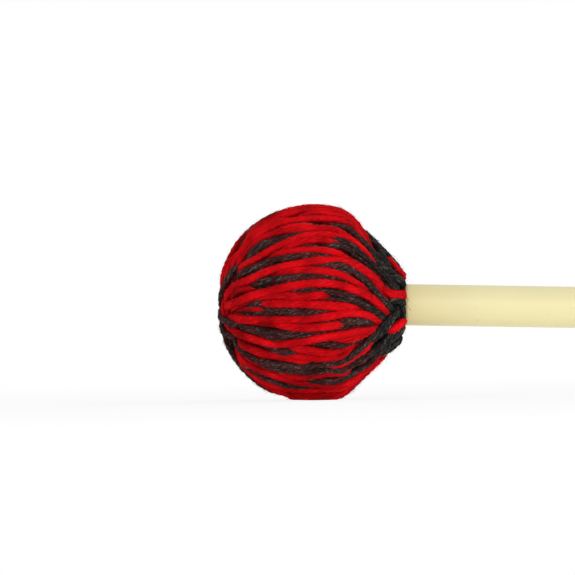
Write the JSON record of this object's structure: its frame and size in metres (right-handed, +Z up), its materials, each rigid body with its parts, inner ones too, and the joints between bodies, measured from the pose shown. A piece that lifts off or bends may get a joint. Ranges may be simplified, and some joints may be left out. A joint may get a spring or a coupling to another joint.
{
  "type": "vibraphone mallet",
  "caption": "Vibraphone mallet: a yarn-wound ball head in red and charcoal over a latex-covered rubber core, on a straight ivory handle.",
  "frame": {"origin": "on the handle's axis at the middle of the grip, 120 mm from the butt", "axes": "+X along the handle from the head to the butt, +Z up, so that the pressed flat of the head faces -Z"},
  "size_m": [0.3916, 0.032, 0.0315],
  "materials": {
    "ivory_sleeve": "ivory polymer, satin",
    "fibreglass": "pultruded fibreglass, cut end",
    "core_rubber": "moulded, matt black",
    "cured_epoxy": "cured amber epoxy",
    "latex_strip": "wound natural latex",
    "base_yarn": "wound yarn, under layer",
    "red_yarn": "soft wool-blend yarn, matt",
    "charcoal_yarn": "soft heather wool-blend yarn, matt",
    "crown_yarn": "crossed red and charcoal yarn, matt",
    "neck_yarn": "crossed red and charcoal yarn, matt"
  },
  "bodies": {
    "root": {"handle_sleeve": "ivory_sleeve", "handle_rod": "fibreglass", "rubber_core": "core_rubber", "core_adhesive": "cured_epoxy", "latex_wrap": "latex_strip", "base_winding": "base_yarn", "red_winding": "red_yarn", "charcoal_winding": "charcoal_yarn", "crown_wraps": "crown_yarn", "neck_wraps": "neck_yarn", "neck_tie": "red_yarn"}
  },
  "joints": []
}
